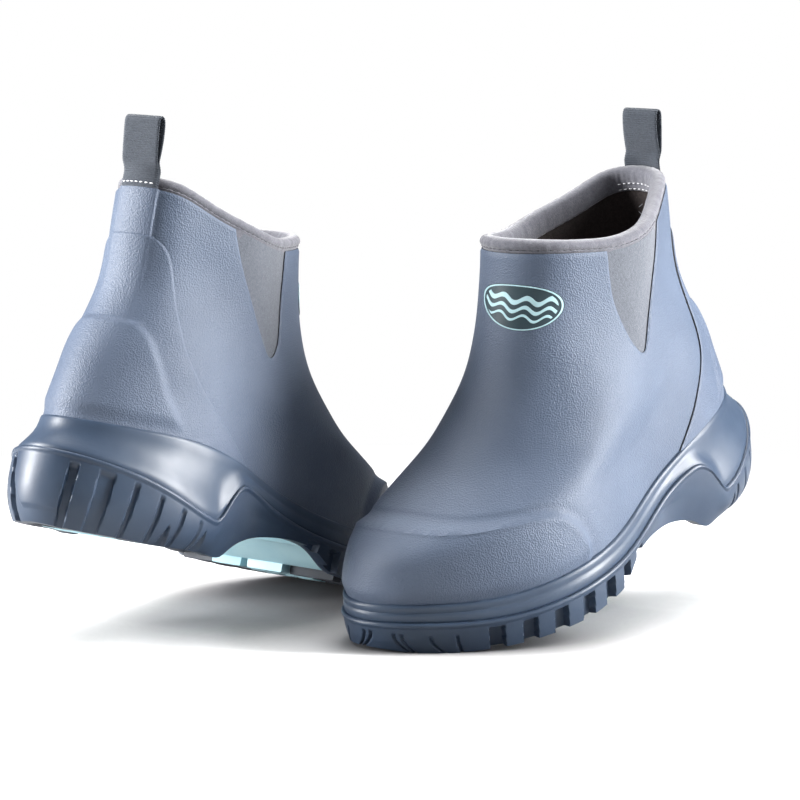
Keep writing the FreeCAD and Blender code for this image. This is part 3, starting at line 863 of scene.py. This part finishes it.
def build_rand():
    top = solve_height(foxing_z, sole_u)
    tall = top - split_z
    heel = [(-1.2, -0.10), (-0.6, 0.00), (0.9, 0.00), (1.9, 0.03), (2.2, 0.09), (2.2, 0.20), (2.5, 0.34),
            (3.3, 0.48), (4.6, 0.62), (6.1, 0.76), (7.4, 0.88), (7.9, 0.97), (7.2, 1.06), (4.0, 1.08)]
    toe = [(-1.2, -0.10), (-0.6, 0.00), (1.0, 0.00), (1.9, 0.05), (2.2, 0.16), (2.2, 0.34), (2.0, 0.44),
           (2.6, 0.52), (2.9, 0.64), (3.0, 0.80), (2.9, 0.93), (2.6, 1.02), (1.6, 1.08), (-1.0, 1.10)]
    rows = [sole_row(out, top - level * tall) for out, level in blend_rows(heel, toe)]
    rows += [sole_row(-2.5, split_z - 1.0), sole_row(-2.5, top - 1.0)]
    piece("rand", "boot", ring_mesh(rows), [rand_rubber], ["rand"], sharp=50)


def groove(distance, half, soft):
    """1 in the middle of a groove, falling to 0 at its walls."""
    return 1 - smoothstep(half, half + soft, np.abs(distance))


def wall_relief(z):
    """Depth cut into the outsole's wall at height z: gaps between edge lugs, and the heel block's panels."""
    level = (z - sole_x * math.sin(HEEL_PITCH)) / math.cos(HEEL_PITCH) + LAST_LIFT
    above = level - bottom_line(sole_x + GROUND_SHIFT) - edge_lift
    wall = (split_z - bottom_z) / math.cos(HEEL_PITCH)
    depth = np.zeros_like(level)
    for k in range(LUG_GAPS):
        across = from_heel - (LAST_GAP - LUG_PITCH * k) + 0.10 * above
        fade = 1 - smoothstep(wall - 5.5, wall - 3.8, above)
        depth = np.maximum(depth, LUG_DEPTH * groove(across, LUG_GAP, 0.7) * fade)
    for place, bend in TOE_CRESCENTS:
        for sign in (1, -1):
            centre = sole_length / 2 + (place - sole_length / 2) * sign
            across = sole_s - centre - sign * bend * ((above - 9) / 9) ** 2
            fade = 1 - smoothstep(8.5, 10.5, above)
            depth = np.maximum(depth, 1.3 * groove(across, 0.35, 0.6) * fade)
    heel = 1 - smoothstep(84, 90, from_heel)
    for place, half, deep, slant in HEEL_GROOVES:
        fade = smoothstep(0.5, 3.0, wall - 3.5 - above)
        depth = np.maximum(depth, deep * groove(from_heel - place - slant * (level - 16), half, 0.6)
                           * fade * heel)
    for place in (64.5, 86.0):
        spread = 3.0 * (1 - above / 12)
        depth = np.maximum(depth, 2.6 * (1 - smoothstep(spread - 0.7, spread, np.abs(from_heel - place)))
                           * heel)
    shield = 7.5 + 26 * np.clip((5.0 - from_heel * np.where(arc > 0, -0.4, 1.0)) / -9.5, 0, 1) ** 1.8
    tuck = smoothstep(0, 0.8, shield - above) * (from_heel < 15.5)
    return np.maximum(depth, 1.1 * tuck)


def build_outsole():
    """The outsole's ring: raised lip, wall with its lugs and slots, ground face, and hidden inner wall."""
    heel_lip, toe_lip = 9.6, 4.7
    lip = heel_lip + (toe_lip - heel_lip) * forward
    tall = split_z - bottom_z
    rows = [sole_row(lip - 4.2, split_z - 1.6), sole_row(lip - 3.0, split_z - 0.5),
            sole_row(lip - 1.9, split_z), sole_row(lip - 0.8, split_z - 0.1),
            sole_row(lip - 0.15, split_z - 0.7), sole_row(lip, split_z - 1.5),
            sole_row(lip - 0.3, split_z - 2.3), sole_row(lip - 0.75, split_z - 3.0)]
    start = 3.6 / np.maximum(tall, 5)
    foot_out = 1.4 + 1.6 * forward
    steps = 30
    for k in range(steps + 1):
        t = start + (1 - start) * k / steps
        z = split_z - t * tall
        curl = t ** (3.2 - 1.2 * forward)
        out = lip - 0.7 + (foot_out - lip + 0.7) * curl
        scoop = 1.6 * np.exp(-((sole_x - 112) / 14) ** 2) * smoothstep(0.1, 0.5, t)
        rows.append(sole_row(out - scoop - wall_relief(z), z))
    inner_z = bottom_z + 4.8
    gap = np.minimum(wall_relief(bottom_z + 1.0), LUG_DEPTH)
    rows += [sole_row(foot_out - 1.6 - gap, bottom_z), sole_row(-5.5, bottom_z + 0.1),
             sole_row(-6.3, bottom_z + 0.9), sole_row(-6.6, inner_z), sole_row(-3.0, inner_z + 0.6),
             sole_row(-2.8, np.maximum(split_z - 4.0, inner_z + 1.0))]
    piece("outsole", "boot", ring_mesh(rows), [outsole_rubber], ["outsole"], sharp=50)


def bevelled_bar(corners, low, high):
    """A lug: its plan corners at the top, drawn in a little at the ground face."""
    plan = np.array(corners, float)
    centre = plan.mean(0)
    rows = []
    for z, inset in ((high, 0.0), (low + 0.9, 0.2), (low + 0.25, 0.48), (low, 1.04)):
        pull = plan + (centre - plan) / np.linalg.norm(centre - plan, axis=1)[:, None] * inset
        rows.append(np.column_stack([pull, np.full(len(plan), float(z))]))
    count = len(plan)
    points = np.vstack(rows)
    faces = [[r * count + i, r * count + (i + 1) % count,
              (r + 1) * count + (i + 1) % count, (r + 1) * count + i]
             for r in range(3) for i in range(count)]
    faces.append(list(range(count)))
    faces.append([3 * count + i for i in reversed(range(count))])
    return points, faces, [0] * len(faces)


def half_width(x, sign):
    """Inner half width of the sole's ring at x in the ground frame."""
    near = np.argmin(np.abs(sole_x + GROUND_SHIFT - x) + 1000 * (lateral != (sign > 0)))
    return abs(sole_foot[near, 1]) - 6.8


def build_tread():
    """The ground lugs inside the ring: pale ones down the middle, dark ones beside them, and arch ribs."""
    dark, pale = [], []
    for k in range(7):
        x = 181 + 13.6 * k
        low = bottom_line(x + 4)
        for sign in (1, -1):
            wide = min(half_width(x, sign), half_width(x + 9, sign))
            if wide < 12:
                continue
            split = 0.5 * wide
            for y0, y1, sweep, group in ((2.0, split - 1.2, -5.0, pale),
                                         (split + 1.2, wide + 1.0, 3.5, dark)):
                corners = [(x + sweep * y0 / wide, sign * y0), (x + 8.4 + sweep * y0 / wide, sign * y0),
                           (x + 8.4 + sweep * y1 / wide, sign * y1), (x + sweep * y1 / wide, sign * y1)]
                group.append(bevelled_bar([(p, q - toe_shift(p)) for p, q in corners], low, low + TREAD_LUG))
    for k in range(5):
        x = 6 + 14.5 * k
        for sign in (1, -1):
            wide = half_width(x + 5, sign) + 1
            middle = 0.55 * wide
            low = bottom_line(x + 5)
            inner = [(x, sign * 1.5), (x + 9.5, sign * 1.5), (x + 8.5, sign * middle), (x - 1, sign * middle)]
            outer = [(x - 1, sign * (middle + 1)), (x + 8.5, sign * (middle + 1)), (x + 7, sign * wide),
                     (x - 2, sign * wide)]
            (dark if k == 0 else pale).append(bevelled_bar(inner, low, low + TREAD_LUG))
            dark.append(bevelled_bar(outer, low, low + TREAD_LUG))
    for k in range(4):
        x = 98 + 18 * k
        for sign in (1, -1):
            wide = half_width(x + 5, sign)
            low = max(bottom_line(x), bottom_line(x + 9)) + 0.6
            corners = [(x, sign * 8), (x + 10, sign * 5),
                       (x + 13, sign * (wide + 1)), (x + 3, sign * (wide + 1))]
            pale.append(bevelled_bar(corners, low, low + 5.0))
    piece("tread_lugs", "boot", join(dark), [tread_rubber], on_last=False, sharp=30)
    piece("core_lugs", "boot", join(pale), [core_rubber], on_last=False, sharp=30)


def toe_shift(x):
    return TOE_INFLARE * min(max((x - 152) / 140, 0.0), 1.0) ** 2


def dress_cad_nodes():
    """The CAD pieces that stay: their own materials."""
    wear = {"tread_core": core_rubber, "footbed": footbed_cloth, "counter_stiffener": board,
            "toe_puff": board, "insole_board": board, "shank": steel, "midsole": foam}
    for side in ("left", "right"):
        for name, material in wear.items():
            mesh = frame["nodes"][side + "_" + name].data
            mesh.materials.clear()
            mesh.materials.append(material)


# ---------------------------------------------------------------- floor, light and camera
def build_stage():
    """A pale floor: its colour darkened close to the boots as a painted contact shadow, plain white further out,
    and throwing little light back.
    """
    mesh = bpy.data.meshes.new("studio_floor")
    reach = 12.0
    mesh.from_pydata([(-reach, -reach, 0), (reach, -reach, 0), (reach, reach, 0), (-reach, reach, 0)], [],
                     [(0, 1, 2, 3)])
    floor = bpy.data.objects.new("studio_floor", mesh)
    bpy.context.scene.collection.objects.link(floor)
    material, tree, shader = new_material("studio_floor")
    camera_ray = node(tree, "ShaderNodeLightPath").outputs["Is Camera Ray"]
    # Painted contact shadow: ambient occlusion darkens the floor's own colour where the boots stand close above
    # it.
    painted_contact_shadow = node(tree, "ShaderNodeAmbientOcclusion", Distance=0.075)
    painted_contact_shadow.samples = 12
    shade = ramp(tree, painted_contact_shadow.outputs["AO"], [(0.20, (0.16, 0.16, 0.17)), (0.60, (0.42, 0.415, 0.415)),
                                               (0.92, (0.95, 0.945, 0.94))])
    bounce = node(tree, "ShaderNodeVectorMath", operation="SCALE")
    tree.links.new(shade, bounce.inputs[0])
    tree.links.new(remap(tree, camera_ray, 0.45, 1.0), bounce.inputs["Scale"])
    tree.links.new(bounce.outputs["Vector"], shader.inputs["Base Color"])
    shader.inputs["Roughness"].default_value = 0.8
    shader.inputs["Specular IOR Level"].default_value = 0.1
    far = node(tree, "ShaderNodeVectorMath", operation="LENGTH")
    tree.links.new(position(tree), far.inputs[0])
    fade = node(tree, "ShaderNodeMapRange", interpolation_type="SMOOTHSTEP")
    tree.links.new(far.outputs["Value"], fade.inputs["Value"])
    fade.inputs["From Min"].default_value = 0.26
    fade.inputs["From Max"].default_value = 0.75
    seen = node(tree, "ShaderNodeMath", operation="MULTIPLY")
    tree.links.new(fade.outputs["Result"], seen.inputs[0])
    tree.links.new(camera_ray, seen.inputs[1])
    white = node(tree, "ShaderNodeEmission", Strength=1.0)
    blend = node(tree, "ShaderNodeMixShader")
    tree.links.new(seen.outputs[0], blend.inputs["Fac"])
    tree.links.new(shader.outputs[0], blend.inputs[1])
    tree.links.new(white.outputs[0], blend.inputs[2])
    tree.links.new(blend.outputs[0], tree.nodes["Material Output"].inputs["Surface"])
    mesh.materials.append(material)


def area_light(name, place, aim, size, power):
    lamp = bpy.data.lights.new(name, "AREA")
    lamp.shape = "RECTANGLE"
    lamp.size, lamp.size_y = size
    lamp.energy = power
    obj = bpy.data.objects.new(name, lamp)
    obj.location = place
    obj.rotation_euler = (Vector(aim) - Vector(place)).to_track_quat("-Z", "Y").to_euler()
    bpy.context.scene.collection.objects.link(obj)


def build_studio():
    """Tall softboxes at both sides, one above and behind, and a weak one in front, in a white surround."""
    middle = (0.0, 0.0, 0.12)
    area_light("softbox_left", (-1.4, -0.12, 0.65), middle, (0.45, 1.2), 80)
    area_light("softbox_right", (1.4, -0.15, 0.65), middle, (0.45, 1.2), 82)
    area_light("softbox_top", (0.0, 0.75, 1.7), middle, (1.4, 0.9), 26)
    area_light("softbox_front", (0.35, -2.2, 1.1), middle, (1.0, 0.7), 3)
    world = bpy.data.worlds.new("studio")
    world.use_nodes = True
    tree = world.node_tree
    glow = tree.nodes["Background"]
    glow.inputs["Color"].default_value = (1, 1, 1, 1)
    glow.inputs["Strength"].default_value = 0.14
    white = node(tree, "ShaderNodeBackground", Color=(1, 1, 1, 1), Strength=1.0)
    mix = node(tree, "ShaderNodeMixShader")
    tree.links.new(node(tree, "ShaderNodeLightPath").outputs["Is Camera Ray"], mix.inputs["Fac"])
    tree.links.new(glow.outputs["Background"], mix.inputs[1])
    tree.links.new(white.outputs["Background"], mix.inputs[2])
    tree.links.new(mix.outputs["Shader"], tree.nodes["World Output"].inputs["Surface"])
    bpy.context.scene.world = world
    bpy.context.scene.view_settings.view_transform = "Standard"


def build_camera():
    lens = bpy.data.cameras.new("camera")
    lens.sensor_width = 36.0
    lens.lens = 144.0
    lens.clip_start = 0.1
    lens.clip_end = 30.0
    camera = bpy.data.objects.new("camera", lens)
    camera.location = (0.0023, -1.6751, 0.2893)
    camera.rotation_euler = (math.radians(84.0), 0, 0)
    bpy.context.scene.collection.objects.link(camera)
    bpy.context.scene.camera = camera


build_camera()
build_stage()
build_studio()
build_upper()
build_gussets()
build_overlay()
build_badge()
build_lining()
build_binding()
build_loop()
build_stitching()
build_rand()
build_outsole()
build_tread()
dress_cad_nodes()
